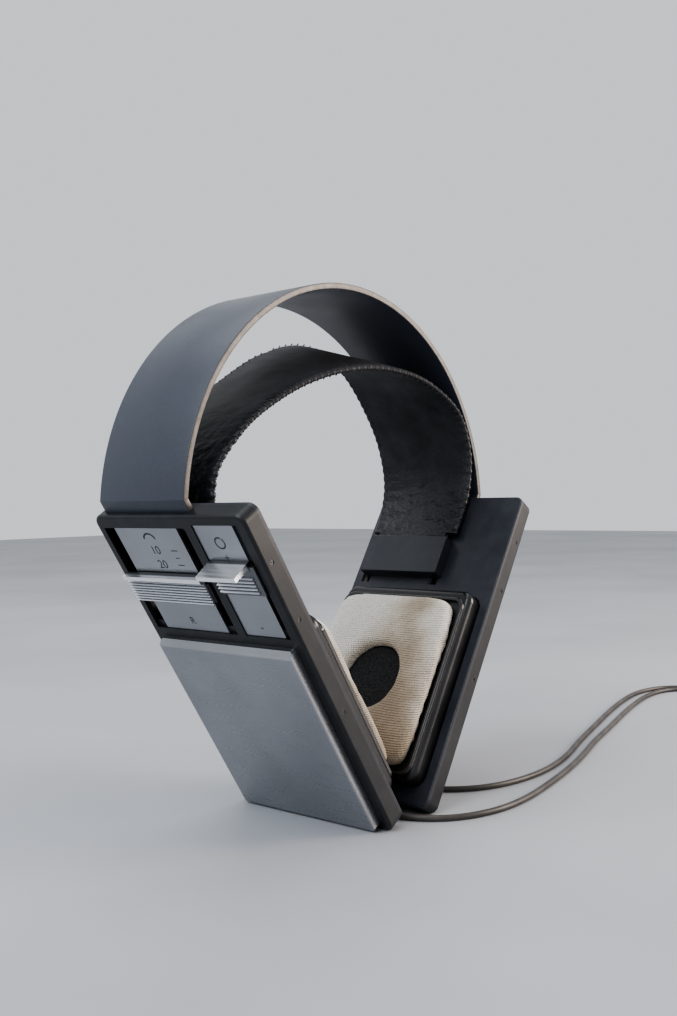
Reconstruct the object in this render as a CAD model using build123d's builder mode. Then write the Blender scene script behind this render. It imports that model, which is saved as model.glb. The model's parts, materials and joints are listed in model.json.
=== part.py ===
"""Radio headphones: two leaning earpieces held by a sprung headband, with a leather head strap.

Millimetres, +Z up. The headphones stand on the lower outer edges of both earpieces, X runs from the
right earpiece to the left one and Y from front to back. Every earpiece piece is built for the left
side, in the earpiece's own plane, and the right one is its mirror image.
"""
from build123d import *
import math
import os

os.makedirs("parts", exist_ok=True)

# ---- Earpiece: overall sizes ----
panel_w = 75.0  # across the earpiece, along Y
panel_h = 138.0  # up the earpiece
panel_t = 8.4  # housing and inner panel together
lean_angle = 32.5  # how far each earpiece leans outwards
foot_x = 13.4  # half the distance between the two lower edges
corner_r = 3.5
edge_r = 1.2
wall = 2.4
skin = 2.0
lid_t = 1.6
fit_gap = 0.1  # between flat faces that slide or seat

# ---- Headband ----
band_t = 2.4
band_w = 44.0
foot_rise = 4.6  # from the top of the earpiece to the bend into the foot
band_margin = 4.9  # from the band's back edge to the earpiece's back edge
band_inset = 2.6  # band's outer face below the housing's outer face
band_foot = 9.0  # length held in the housing

# ---- Control deck ----
deck_margin = 4.8  # from the deck to the top of the earpiece
deck_h = 44.4
deck_depth = 1.2
plate_t = 0.8
side_margin = 3.5  # from the back slot to the back edge
back_slot_w = 5.1
front_slot_w = 4.6
column_gap = 4.0  # between the head column and the ear column
ear_plate_w = 18.6
ear_plate_margin = 6.7
ear_slot_w = 2.4
head_up = 16.0  # head slider's travel up
head_down = 6.0
ear_down = 12.0  # ear slider's travel down
capsule_in = 3.0  # capsule's travel into the housing

# ---- Driver cover, capsule and pad ----
cover_gap = 3.5  # between the deck and the driver cover
cover_low = 3.4
cover_side = 4.3
cover_rise = 4.0
cover_wall = 1.2
cover_bevel = 2.2
capsule_low = 7.2
capsule_side = 4.7
capsule_depth = 10.4
capsule_rise = 7.2  # how far the shell stands out of the inner panel
capsule_wall = 1.8
capsule_gap = 0.5
capsule_round = 2.5
rim_inset = 1.4
rim_top_inset = 4.2
rim_w = 1.7
rim_h = 1.6
pad_gap = 0.2
pad_t = 7.6
pad_round = 3.0
hole_r = 14.1
hole_drop = 2.4  # pad hole's centre below the capsule's middle
driver_r = 22.0
magnet_r = 17.0

# ---- Strap ----
strap_t = 3.0
holder_h = 18.0
holder_t = 4.5
holder_wall = 2.0
holder_drop = 5.0  # from the head slider's lower edge down to the holder's
cover_plate_t = 1.0

# ---- Cords ----
cord_d = 2.4
main_d = 3.2
gland_v = 5.0  # where the cord leaves, across the earpiece
gland_n = -6.0
gland_w = 6.0
gland_h = 3.8

lean = math.radians(lean_angle)
foot_drop = edge_r * (math.cos(lean) + math.sin(lean) - 1)
ear = Plane(
    origin=(foot_x, 0, -foot_drop),
    x_dir=(0, 1, 0),
    z_dir=(math.cos(lean), 0, -math.sin(lean)),
)
outward = Axis(ear.origin, ear.z_dir)

# Places across (v), up (u) and out of (n) the earpiece, from its lower outer edge.
back_edge = panel_w / 2
front_edge = -panel_w / 2
inner_face = -panel_t
lid_face = -(panel_t - lid_t)
deck_top = panel_h - deck_margin
deck_low = deck_top - deck_h
head_back = back_edge - side_margin
head_plate_v1 = head_back - back_slot_w
ear_plate_v0 = front_edge + ear_plate_margin
ear_plate_v1 = ear_plate_v0 + ear_plate_w
head_front = ear_plate_v1 + column_gap
head_plate_v0 = head_front + front_slot_w
ear_slot_v0 = ear_plate_v0 - ear_slot_w
slot_low = deck_low + 2.7
slot_top = deck_top - 0.7
band_v1 = back_edge - band_margin
band_v0 = band_v1 - band_w
foot_low = panel_h - band_foot
plate_top = -deck_depth + plate_t
capsule_v = panel_w / 2 - capsule_side
capsule_top = deck_low
hole_u = (capsule_low + capsule_top) / 2 - hole_drop
capsule_front = inner_face - capsule_rise
capsule_back = capsule_front + capsule_depth


def slab(v0, v1, u0, u1, n0, n1, mode=Mode.ADD, r=0.0):
    """A flat block of the piece being built: v across, u up, n outwards, with corner radius r."""
    with BuildSketch(ear.offset(n0)) as face:
        with Locations(((v0 + v1) / 2, (u0 + u1) / 2)):
            if r:
                RectangleRounded(v1 - v0, u1 - u0, r)
            else:
                Rectangle(v1 - v0, u1 - u0)
    extrude(face.sketch, amount=n1 - n0, mode=mode)


def disc(v, u, radius, n0, n1, mode=Mode.ADD):
    """A round block of the piece being built, on the earpiece's outward axis."""
    with BuildSketch(ear.offset(n0)) as face:
        with Locations((v, u)):
            Circle(radius)
    extrude(face.sketch, amount=n1 - n0, mode=mode)


def section(points, v0, v1, mode=Mode.ADD):
    """A bar across the earpiece from v0 to v1, with its outline given as (n, u) points."""
    side = Plane(origin=ear.from_local_coords((v0, 0, 0)), x_dir=ear.z_dir, z_dir=ear.x_dir)
    with BuildSketch(side) as face:
        with BuildLine():
            Polyline(*[(n, -u) for n, u in points], close=True)
        make_face()
    extrude(face.sketch, amount=v1 - v0, mode=mode)


def save(piece, name):
    """Labels a finished piece and writes it under its own name."""
    piece.label = name
    export_step(piece, f"parts/{name}.step")


def save_pair(piece, name):
    """Writes the left piece as built and the right one as its mirror image."""
    save(piece, name + "_left")
    save(mirror(piece, about=Plane.YZ), name + "_right")


# ---- Housing: outer shell with the control deck ----
with BuildPart() as housing:
    slab(front_edge, back_edge, 0, panel_h, lid_face, 0, r=corner_r)
    fillet(housing.faces().sort_by(outward)[-1].edges(), edge_r)
    slab(front_edge + wall, back_edge - wall, wall, panel_h - wall, lid_face, -skin, Mode.SUBTRACT)
    # seat of the driver cover, and the window behind it for the driver
    cover_v = panel_w / 2 - cover_side
    cover_top = deck_low - cover_gap
    slab(
        -cover_v - fit_gap,
        cover_v + fit_gap,
        cover_low - fit_gap,
        cover_top + fit_gap,
        -1.0,
        1.0,
        Mode.SUBTRACT,
        r=1.5,
    )
    disc(0, hole_u, driver_r + 3, -skin - 1, 1, Mode.SUBTRACT)
    # sunk beds of the two scale plates, then the slots beside them
    slab(head_front, head_back, deck_low, deck_top, -deck_depth, 1, Mode.SUBTRACT)
    slab(ear_slot_v0, ear_plate_v1, deck_low, deck_top + 1.2, -deck_depth, 1, Mode.SUBTRACT)
    slab(head_plate_v1, head_back, slot_low, slot_top, -skin - 1, 1, Mode.SUBTRACT)
    slab(head_front, head_plate_v0, slot_low, slot_top, -skin - 1, 1, Mode.SUBTRACT)
    slab(ear_slot_v0, ear_plate_v0, deck_low + 3, deck_low + 31, -skin - 1, 1, Mode.SUBTRACT)
    # mouth for the band's foot in the top wall
    slab(
        band_v0 - fit_gap,
        band_v1 + fit_gap,
        foot_low - fit_gap,
        panel_h + 1,
        -band_inset - band_t - fit_gap,
        -band_inset + fit_gap,
        Mode.SUBTRACT,
    )
    # screw holes in both side walls
    screw_u = (55.0, 95.0, 118.0)
    screw_r = 0.8
    side_plane = Plane(origin=ear.origin, x_dir=ear.z_dir, z_dir=ear.x_dir)
    with BuildSketch(side_plane.offset(front_edge)) as front_holes:
        with Locations([(lid_face / 2, -u) for u in screw_u]):
            Circle(screw_r + 0.02)
    extrude(front_holes.sketch, amount=wall - 0.6, mode=Mode.SUBTRACT)
    with BuildSketch(side_plane.offset(back_edge - wall + 0.6)) as back_holes:
        with Locations([(lid_face / 2, -u) for u in screw_u]):
            Circle(screw_r + 0.02)
    extrude(back_holes.sketch, amount=wall - 0.6, mode=Mode.SUBTRACT)
    # open notch in the lower wall, where the cord comes out
    slab(
        gland_v - cord_d / 2 - 1.4,
        gland_v + cord_d / 2 + 1.4,
        -1,
        wall + 0.1,
        lid_face - 1,
        gland_n + cord_d / 2 + 0.5,
        Mode.SUBTRACT,
    )
save_pair(housing.part, "housing")

# ---- Inner panel: closes the housing on the head side ----
with BuildPart() as inner_panel:
    slab(front_edge, back_edge, 0, panel_h, inner_face, lid_face, r=corner_r)
    fillet(inner_panel.faces().sort_by(outward)[0].edges(), 0.6)
    slab(
        -capsule_v - capsule_gap,
        capsule_v + capsule_gap,
        capsule_low - capsule_gap,
        capsule_top + capsule_gap,
        inner_face - 1,
        lid_face + 1,
        Mode.SUBTRACT,
        r=5.5,
    )
    for v0, v1 in ((head_plate_v1 + 0.1, head_back - 0.6), (head_front + 0.6, head_plate_v0 - 0.1)):
        slab(v0, v1, slot_low + 2.5, slot_top - 4, inner_face - 1, lid_face + 1, Mode.SUBTRACT)
    slab(
        gland_v - gland_w / 2 - fit_gap,
        gland_v + gland_w / 2 + fit_gap,
        -1,
        capsule_low,
        inner_face - 1,
        lid_face + 1,
        Mode.SUBTRACT,
    )
save_pair(inner_panel.part, "inner_panel")

# ---- Side screws: three in each narrow wall, written as one group ----
with BuildPart() as side_screws:
    with BuildSketch(side_plane.offset(front_edge + 0.2)) as front_heads:
        with Locations([(lid_face / 2, -u) for u in screw_u]):
            Circle(screw_r)
            Circle(0.3, mode=Mode.SUBTRACT)
    extrude(front_heads.sketch, amount=wall - 0.9)
    with BuildSketch(side_plane.offset(back_edge - wall + 0.7)) as back_heads:
        with Locations([(lid_face / 2, -u) for u in screw_u]):
            Circle(screw_r)
            Circle(0.3, mode=Mode.SUBTRACT)
    extrude(back_heads.sketch, amount=wall - 0.9)
save_pair(side_screws.part, "side_screws")

# ---- Driver cover: aluminium pan with a bevelled top edge ----
with BuildPart() as driver_cover:
    slab(-cover_v, cover_v, cover_low, cover_top, -1.0, cover_rise, r=1.4)
    section(
        [
            (cover_rise + 1, cover_top - cover_bevel - 1),
            (cover_rise + 1, cover_top + 1),
            (cover_rise - cover_bevel - 1, cover_top + 1),
        ],
        -cover_v - 1,
        cover_v + 1,
        Mode.SUBTRACT,
    )
    fillet(driver_cover.faces().sort_by(outward)[-1].edges(), 0.7)
    slab(
        -cover_v + cover_wall,
        cover_v - cover_wall,
        cover_low + cover_wall,
        cover_top - cover_wall - cover_bevel,
        -1.0,
        cover_rise - cover_wall,
        Mode.SUBTRACT,
    )
save_pair(driver_cover.part, "driver_cover")

# ---- Scale plates in the control deck ----
with BuildPart() as head_scale:
    slab(
        head_plate_v0, head_plate_v1, deck_low + fit_gap, deck_top - fit_gap, -deck_depth, plate_top
    )
save_pair(head_scale.part, "head_scale")

with BuildPart() as ear_scale:
    slab(
        ear_plate_v0,
        ear_plate_v1 - fit_gap,
        deck_low + fit_gap,
        deck_top + 1.1,
        -deck_depth,
        plate_top,
        r=0.6,
    )
save_pair(ear_scale.part, "ear_scale")

# ---- Head slider: ridged thumb piece with two legs through the slots ----
slider_low = deck_low + 13.2
slider_h = 12.4
slider_v0 = head_front + 2.0
slider_v1 = head_back + 0.2
slider_t = 1.0
ridge_pitch = 1.15
ridge_h = 0.9
holder_face = inner_face - 0.2
leg_w = 2.0
leg_u0 = slider_low + 1.0
leg_v = (head_plate_v1 + 0.4, head_front + 1.2)
with BuildPart() as head_slider:
    slab(
        slider_v0, slider_v1, slider_low, slider_low + slider_h, fit_gap, fit_gap + slider_t, r=0.4
    )
    for i in range(8):
        ridge_u = slider_low + 0.6 + i * ridge_pitch
        top = fit_gap + slider_t + ridge_h
        section(
            [(fit_gap + 0.5, ridge_u), (top, ridge_u + 0.4), (fit_gap + 0.5, ridge_u + 1.0)],
            slider_v0,
            slider_v1,
        )
    lip_u = slider_low + slider_h - 1.9
    slab(slider_v0, slider_v1, lip_u, lip_u + 1.7, fit_gap + 0.5, fit_gap + slider_t + 1.9)
    for v in leg_v:
        slab(v, v + leg_w, leg_u0, leg_u0 + 8, holder_face, fit_gap + 0.5)
save_pair(head_slider.part, "head_slider")

# ---- Strap holder: carriage on the inner face, with its snap-on cover ----
holder_u = slider_low - holder_drop
holder_v0 = head_front - 1.3
holder_v1 = head_plate_v1 + 3.1
holder_out = holder_face - holder_t
pocket_v0 = holder_v0 + holder_wall
pocket_v1 = holder_v1 - holder_wall
pocket_low = holder_u + 3.5
pocket_n0 = holder_out
pocket_n1 = holder_face - 0.9
with BuildPart() as strap_holder:
    slab(holder_v0, holder_v1, holder_u, holder_u + holder_h, holder_out, holder_face, r=0.8)
    slab(
        pocket_v0,
        pocket_v1,
        pocket_low,
        holder_u + holder_h + 1,
        pocket_n0,
        pocket_n1,
        Mode.SUBTRACT,
    )
save_pair(strap_holder.part, "strap_holder")

with BuildPart() as holder_cover:
    slab(
        holder_v0,
        holder_v1,
        holder_u,
        holder_u + holder_h,
        holder_out - cover_plate_t,
        holder_out,
        r=0.8,
    )
    fillet(holder_cover.faces().sort_by(outward)[0].edges(), 0.4)
save_pair(holder_cover.part, "holder_cover")

# ---- Ear slider: lip and ridges over the ear plate, with its leg through the side slot ----
ear_low = deck_low + 18.6
ear_high = ear_low + 13.0
ear_base = plate_top + fit_gap
ear_face = ear_base + 1.2
lip_out = 8.0
lip_t = 1.6
with BuildPart() as ear_slider:
    section(
        [
            (ear_base, ear_low),
            (ear_face, ear_low),
            (ear_face, ear_high - lip_t - 1.4),
            (ear_face + 0.9, ear_high - lip_t - 0.4),
            (lip_out, ear_high - lip_t - 0.9),
            (lip_out, ear_high - 0.9),
            (ear_base, ear_high),
        ],
        ear_plate_v0 + 0.1,
        ear_plate_v1 - 0.3,
    )
    for i in range(5):
        ridge_u = ear_low + 0.9 + i * 1.4
        section(
            [(ear_face - 0.4, ridge_u), (ear_face + 0.9, ridge_u + 0.5), (ear_face - 0.4, ridge_u + 1.2)],
            ear_plate_v0 + 0.1,
            ear_plate_v1 - 0.3,
        )
    slab(ear_slot_v0 + 0.3, ear_plate_v0 + 0.4, ear_low, ear_high - 1.5, ear_base, ear_face)
    slab(ear_slot_v0 + 0.3, ear_plate_v0 - 0.3, ear_low + 0.5, ear_low + 10.5, -4.0, ear_base)
save_pair(ear_slider.part, "ear_slider")

# ---- Ear wedge: ramp on the slider's leg that presses the capsule's tongue ----
arm_face = lid_face + 0.9
finger_low = capsule_top + ear_down + 1.0
wedge_thick = arm_face + 0.15
wedge_thin = wedge_thick + capsule_in
with BuildPart() as ear_wedge:
    section(
        [
            (wedge_thick, finger_low - 0.3),
            (wedge_thick, finger_low),
            (wedge_thin, finger_low + ear_down),
            (wedge_thin, finger_low + 20),
            (-skin - 0.15, finger_low + 20),
            (-skin - 0.15, finger_low - 0.3),
        ],
        ear_plate_v0 - 0.2,
        ear_plate_v0 + 6,
    )
save_pair(ear_wedge.part, "ear_wedge")

# ---- Capsule shell: open box with the tongue that the wedge presses ----
with BuildPart() as capsule_shell:
    slab(-capsule_v, capsule_v, capsule_low, capsule_top, capsule_front, capsule_back, r=5.0)
    fillet(capsule_shell.faces().sort_by(outward)[0].edges(), capsule_round)
    slab(
        -capsule_v + capsule_wall,
        capsule_v - capsule_wall,
        capsule_low + capsule_wall,
        capsule_top - capsule_wall,
        capsule_front + capsule_wall,
        capsule_back + 1,
        Mode.SUBTRACT,
        r=3.0,
    )
    disc(0, hole_u, driver_r - 1.5, capsule_front - 1, capsule_back, Mode.SUBTRACT)
    tongue_v = ear_plate_v0 + 7
    finger_top = finger_low + 1.5
    slab(tongue_v, tongue_v + 4, capsule_top - 1, finger_top, arm_face - 0.8, arm_face)
    slab(tongue_v - 6, tongue_v + 4, finger_low, finger_top, arm_face - 0.8, arm_face)
save_pair(capsule_shell.part, "capsule_shell")

# ---- Driver: frame, magnet, diaphragm and grille, stacked behind the pad ----
frame_front = capsule_front + capsule_wall
with BuildPart() as driver_frame:
    disc(0, hole_u, driver_r, frame_front, frame_front + 3.2)
    disc(0, hole_u, driver_r - 1.6, frame_front - 1, frame_front + 2.2, Mode.SUBTRACT)
    disc(0, hole_u, magnet_r - 5, frame_front, frame_front + 4, Mode.SUBTRACT)
save_pair(driver_frame.part, "driver_frame")

with BuildPart() as driver_magnet:
    disc(0, hole_u, magnet_r, frame_front + 3.2, frame_front + 8.6)
    disc(0, hole_u, magnet_r - 8, frame_front, frame_front + 7, Mode.SUBTRACT)
save_pair(driver_magnet.part, "driver_magnet")

with BuildPart() as driver_diaphragm:
    disc(0, hole_u, driver_r - 1.8, frame_front + 0.6, frame_front + 1.0)
    disc(0, hole_u, 8.0, frame_front + 0.9, frame_front + 1.9)
save_pair(driver_diaphragm.part, "driver_diaphragm")

with BuildPart() as driver_grille:
    disc(0, hole_u, driver_r - 1.7, capsule_front + 0.1, capsule_front + 0.9)
    with BuildSketch(ear.offset(capsule_front)) as grille_holes:
        with Locations((0, hole_u)):
            with PolarLocations(6, 6):
                Circle(1.5)
            with PolarLocations(12, 12):
                Circle(1.5)
    extrude(grille_holes.sketch, amount=2, mode=Mode.SUBTRACT)
save_pair(driver_grille.part, "driver_grille")

# ---- Pad rim, ear pad and the foam in its hole ----
rim_v = capsule_v - rim_inset
rim_low = capsule_low + 1.0
rim_top = capsule_top - rim_top_inset
with BuildPart() as pad_rim:
    slab(-rim_v, rim_v, rim_low, rim_top, capsule_front - rim_h, capsule_front, r=5.0)
    slab(
        -rim_v + rim_w,
        rim_v - rim_w,
        rim_low + rim_w,
        rim_top - rim_w,
        capsule_front - rim_h - 1,
        capsule_front + 1,
        Mode.SUBTRACT,
        r=3.6,
    )
    fillet(pad_rim.faces().sort_by(outward)[0].edges(), 0.6)
save_pair(pad_rim.part, "pad_rim")

pad_v = rim_v - rim_w - pad_gap
pad_low = rim_low + rim_w + pad_gap
pad_top = rim_top - rim_w - pad_gap
pad_back = capsule_front - 0.1
with BuildPart() as ear_pad:
    slab(-pad_v, pad_v, pad_low, pad_top, pad_back - pad_t, pad_back, r=4.5)
    fillet(ear_pad.faces().sort_by(outward)[0].edges(), pad_round)
    disc(0, hole_u, hole_r, pad_back - pad_t - 1, pad_back + 1, Mode.SUBTRACT)
save_pair(ear_pad.part, "ear_pad")

with BuildPart() as hole_foam:
    disc(0, hole_u, hole_r - 0.3, pad_back - 1.8, pad_back)
save_pair(hole_foam.part, "hole_foam")

# ---- Band clamp and terminal board, inside the housing ----
with BuildPart() as band_clamp:
    slab(
        band_v0 + 2,
        band_v1 - 2,
        foot_low,
        foot_low + 6,
        lid_face + fit_gap,
        -band_inset - band_t - fit_gap,
    )
save_pair(band_clamp.part, "band_clamp")

with BuildPart() as terminal_board:
    slab(
        ear_plate_v1 - 10,
        ear_plate_v1 - 1,
        deck_low + 26,
        deck_low + 38,
        lid_face + 0.1,
        lid_face + 1.1,
    )
    for i in range(3):
        disc(ear_plate_v1 - 8 + i * 2.6, deck_low + 32, 0.6, lid_face + 0.1, lid_face + 2)
save_pair(terminal_board.part, "terminal_board")

# ---- Cable gland: rubber block above the notch in the lower wall ----
gland_low = wall
with BuildPart() as cable_gland:
    slab(
        gland_v - gland_w / 2,
        gland_v + gland_w / 2,
        gland_low,
        gland_low + gland_h,
        gland_n - 2.2,
        gland_n + 2.0,
        r=0.8,
    )
save_pair(cable_gland.part, "cable_gland")

# ---- Headband: half ring with a bent foot at each end ----
foot_turn = math.radians(4.0)
foot_u = panel_h + foot_rise
bend = ear.from_local_coords((0, foot_u, -band_inset))
band_r = bend.X / math.cos(foot_turn)
band_z = bend.Z - band_r * math.sin(foot_turn)
print("band outside radius", round(band_r, 1), "top", round(band_z + band_r, 1))
with BuildPart() as headband:
    slab(band_v0, band_v1, foot_low, foot_u, -band_inset - band_t, -band_inset)
    mirror(about=Plane.YZ)
    with BuildSketch(Plane.XZ.offset(-band_v1)) as ring:
        with Locations((0, band_z)):
            Circle(band_r)
            Circle(band_r - band_t, mode=Mode.SUBTRACT)
        with Locations((0, bend.Z - band_r)):
            Rectangle(3 * band_r, 2 * band_r, mode=Mode.SUBTRACT)
    extrude(ring.sketch, amount=band_w)
save(headband.part, "headband")

# ---- Head strap: a bent leather band whose ends sit in the holders ----
mouth = ear.from_local_coords((0, holder_u + holder_h + 2.5, pocket_n1 - 0.2))
# Front and back outlines: turn about the band's centre, and gap inside the band there. At the
# ends the gap follows the panel, so that the strap clears it on its way into the holder.
front_gaps = [
    (178.2, panel_t + 1.7), (169.9, 9.4), (155.0, 16.1), (132.0, 25.8), (98.2, 29.5), (67.7, 22.4),
    (44.5, 9.8), (28.9, 1.0), (17.2, 1.2), (6.4, panel_t - 2.3),
]
back_gaps = [
    (177.8, panel_t + 1.6), (165.7, 9.2), (148.2, 17.4), (124.0, 24.8), (97.0, 20.2), (76.6, 12.2),
    (57.3, 7.9), (36.8, 8.2), (21.7, 7.6), (7.8, panel_t + 0.2),
]


def strap_line(gaps):
    """The strap's outer outline from the right holder's mouth to the left one's."""
    line = [(-mouth.X, mouth.Z)]
    for turn, gap in gaps:
        reach = band_r - band_t - gap
        angle = math.radians(turn)
        line.append((reach * math.cos(angle), band_z + reach * math.sin(angle)))
    return line + [(mouth.X, mouth.Z)]


def inside_of(points, depth):
    """The same run of points moved inwards by depth, square to the run."""
    moved = []
    for i, (x, z) in enumerate(points):
        xa, za = points[max(i - 1, 0)]
        xb, zb = points[min(i + 1, len(points) - 1)]
        run = math.hypot(xb - xa, zb - za)
        moved.append((x + depth * (zb - za) / run, z - depth * (xb - xa) / run))
    return moved


def strap_edge(points, y):
    """The strap's cut end on the plane across Y, between its outer and inner curves."""
    inner = inside_of(points, strap_t - 0.4)
    with BuildSketch(Plane.XZ.offset(-y)) as face:
        with BuildLine():
            Spline(*points)
            Line(points[-1], inner[-1])
            Spline(*reversed(inner))
            Line(inner[0], points[0])
        make_face()
    return face.sketch.faces()[0]


with BuildPart() as head_strap:
    slab(
        pocket_v0 + 0.3,
        pocket_v1 - 0.3,
        pocket_low + 0.5,
        holder_u + holder_h + 3.5,
        pocket_n0 + 0.2,
        pocket_n1 - 0.2,
    )
    mirror(about=Plane.YZ)
    front_edge_face = strap_edge(strap_line(front_gaps), band_v0 - 0.8)
    back_edge_face = strap_edge(strap_line(back_gaps), band_v1 + 0.8)
    loft([front_edge_face, back_edge_face], ruled=True)
save(head_strap.part, "head_strap")

# ---- Cords: routes along the floor, each corner rounded as far as its runs allow ----
lie = cord_d / 2 + 0.05
exit_at = ear.from_local_coords((gland_v, gland_low - 0.1, gland_n))
drop = (exit_at.Z - lie) / math.cos(lean)
landing_x = exit_at.X - drop * math.sin(lean)
right_route = [
    (-exit_at.X, gland_v, exit_at.Z), (-landing_x, gland_v, lie), (-4.8, 0.4, lie),
    (-2.6, -8.6, lie), (-1.2, -22.0, lie), (1.4, -34.5, lie), (7.2, -44.0, lie),
    (17.0, -51.0, lie), (32.0, -55.2, lie), (51.0, -55.0, lie), (73.0, -51.4, lie),
    (98.0, -46.4, lie), (126.0, -39.2, lie), (156.0, -29.6, lie), (190.0, -21.0, lie),
    (224.0, -11.5, lie), (256.0, -3.6, lie), (283.0, 1.4, lie), (304.0, 0.6, lie),
    (316.0, -8.0, lie), (319.4, -21.5, lie), (319.4, -35.0, lie),
]
left_route = [
    (exit_at.X, gland_v, exit_at.Z), (landing_x, gland_v, lie), (4.8, 9.6, lie),
    (3.2, 18.5, lie), (3.4, 33.5, lie), (6.5, 48.5, lie), (14.5, 58.0, lie), (25.0, 57.6, lie),
    (32.5, 48.5, lie), (35.6, 34.5, lie), (36.0, 18.0, lie), (35.2, 3.0, lie), (36.2, -10.5, lie),
    (41.5, -22.5, lie), (50.0, -31.2, lie), (63.0, -37.0, lie), (80.0, -39.4, lie),
    (99.0, -38.4, lie), (122.0, -33.6, lie), (152.0, -23.6, lie), (186.0, -14.0, lie),
    (222.0, -3.6, lie), (256.0, 5.0, lie), (286.0, 10.4, lie), (308.0, 7.6, lie),
    (320.6, -3.4, lie), (324.6, -19.0, lie), (324.6, -35.0, lie),
]
lie_main = main_d / 2 + 0.05
split_y = -35.0
split_len = 18.0
coil_x = 296.0
coil_y = -104.0
coil_mean = 18.0
main_route = [
    (322.0, -53.0, lie_main), (322.0, -64.5, lie_main), (321.6, -79.5, lie_main),
    (317.6, -93.5, lie_main),
]
plug_x = 242.0  # where the tail enters the plug
plug_y = -130.6
plug_z = 7.6
tail_route = [
    (289.0, -126.0, lie_main), (279.5, -129.4, 1.9), (269.5, plug_y, 3.6),
    (260.0, plug_y, 6.2), (251.0, plug_y, plug_z), (plug_x, plug_y, plug_z),
]


def cord_radii(points):
    """One radius for each corner: 0.45 of the shorter run over the tangent of half the turn."""
    radii = []
    for a, b, c in zip(points, points[1:], points[2:]):
        first = Vector(b) - Vector(a)
        second = Vector(c) - Vector(b)
        turn = math.radians(first.get_angle(second))
        radii.append(0.45 * min(first.length, second.length) / math.tan(turn / 2))
    return radii


def cord_tube(name, points, diameter):
    """A round cord along the route, with its smallest radius and its volume checked in print."""
    radii = cord_radii(points)
    with BuildPart() as tube:
        with BuildLine() as path:
            FilletPolyline(*points, radius=radii)
        route = path.wires()[0]
        with BuildSketch(Plane(origin=route @ 0, z_dir=route % 0)) as ring:
            Circle(diameter / 2)
        sweep(ring.sketch, path=route)
    ideal = math.pi * diameter**2 / 4 * route.length
    print(name, "length", round(route.length, 1), "radii", [round(r, 1) for r in radii])
    print(name, "volume", round(tube.part.volume, 1), "of", round(ideal, 1))
    save(tube.part, name)


cord_tube("cord_right", right_route, cord_d)
cord_tube("cord_left", left_route, cord_d)
cord_tube("cord_main", main_route, main_d)

# ---- Cord splitter: two thin cords in, one round cord out ----
split_mid = (right_route[-1][0] + left_route[-1][0]) / 2
with BuildPart() as cord_splitter:
    with BuildSketch(Plane.XZ.offset(-split_y)) as wide_end:
        with Locations((split_mid, 2.6)):
            RectangleRounded(10.4, 5.0, 2.2)
    with BuildSketch(Plane.XZ.offset(-(split_y - split_len))) as thin_end:
        with Locations((split_mid, 2.6)):
            RectangleRounded(5.2, 5.0, 2.2)
    loft([wide_end.sketch.faces()[0], thin_end.sketch.faces()[0]])
save(cord_splitter.part, "cord_splitter")

# ---- Coil of the put-away main cord: one closed ring ----
coil_wide = 17.0
coil_high = 13.6
with BuildPart() as cord_coil:
    with BuildSketch(Plane(origin=(coil_x, coil_y, 0), x_dir=(1, 0, 0), z_dir=(0, -1, 0))) as ring:
        with Locations((coil_mean, coil_high / 2)):
            RectangleRounded(coil_wide, coil_high, 4.0)
    revolve(ring.sketch, axis=Axis((coil_x, coil_y, 0), (0, 0, 1)))
save(cord_coil.part, "cord_coil")

# ---- Plug: strain relief, body, metal shell and pins, lying beside the coil ----
plug_r = 7.5
relief_len = 16.0
body_len = 28.0
shell_r = 6.65
shell_len = 9.0
cord_tube("cord_tail", tail_route, main_d)


def along_plug(distance):
    """The plane square to the plug, that far from the tail's end."""
    return Plane(origin=(plug_x - distance, plug_y, plug_z), x_dir=(0, 1, 0), z_dir=(-1, 0, 0))


with BuildPart() as plug_relief:
    with BuildSketch(along_plug(0)) as relief_tip:
        Circle(main_d / 2 + 0.4)
    with BuildSketch(along_plug(relief_len)) as relief_root:
        Circle(4.4)
    loft([relief_tip.sketch.faces()[0], relief_root.sketch.faces()[0]])
save(plug_relief.part, "plug_relief")

with BuildPart() as plug_body:
    with BuildSketch(along_plug(relief_len)) as body_end:
        Circle(plug_r)
    extrude(body_end.sketch, amount=body_len)
    fillet(plug_body.faces().sort_by(Axis.X)[-1].edges(), 2.5)
    fillet(plug_body.faces().sort_by(Axis.X)[0].edges(), 0.5)
save(plug_body.part, "plug_body")

with BuildPart() as plug_shell:
    with BuildSketch(along_plug(relief_len + body_len)) as shell_end:
        Circle(shell_r)
        Circle(shell_r - 0.6, mode=Mode.SUBTRACT)
    extrude(shell_end.sketch, amount=shell_len)
save(plug_shell.part, "plug_shell")

with BuildPart() as plug_pins:
    with BuildSketch(along_plug(relief_len + body_len)) as pin_ends:
        with PolarLocations(3.6, 5, start_angle=0, angular_range=180):
            Circle(0.7)
    extrude(pin_ends.sketch, amount=shell_len - 1.5)
save(plug_pins.part, "plug_pins")
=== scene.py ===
# %% [markdown]
# # Radio headphones
# Two leaning earpieces hang on a sprung band, with a leather strap under it. The hard pieces come
# from the CAD frame, which this script loads first and never moves. Here each gets its finish, and
# the band, the strap, the ear pads, the cords and the printed marks are made as meshes.
# Everything is in metres, in the frame's own coordinates.
# %% Load the frame
import json

import bmesh
import bpy
import numpy as np
from mathutils import Matrix, Vector


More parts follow.
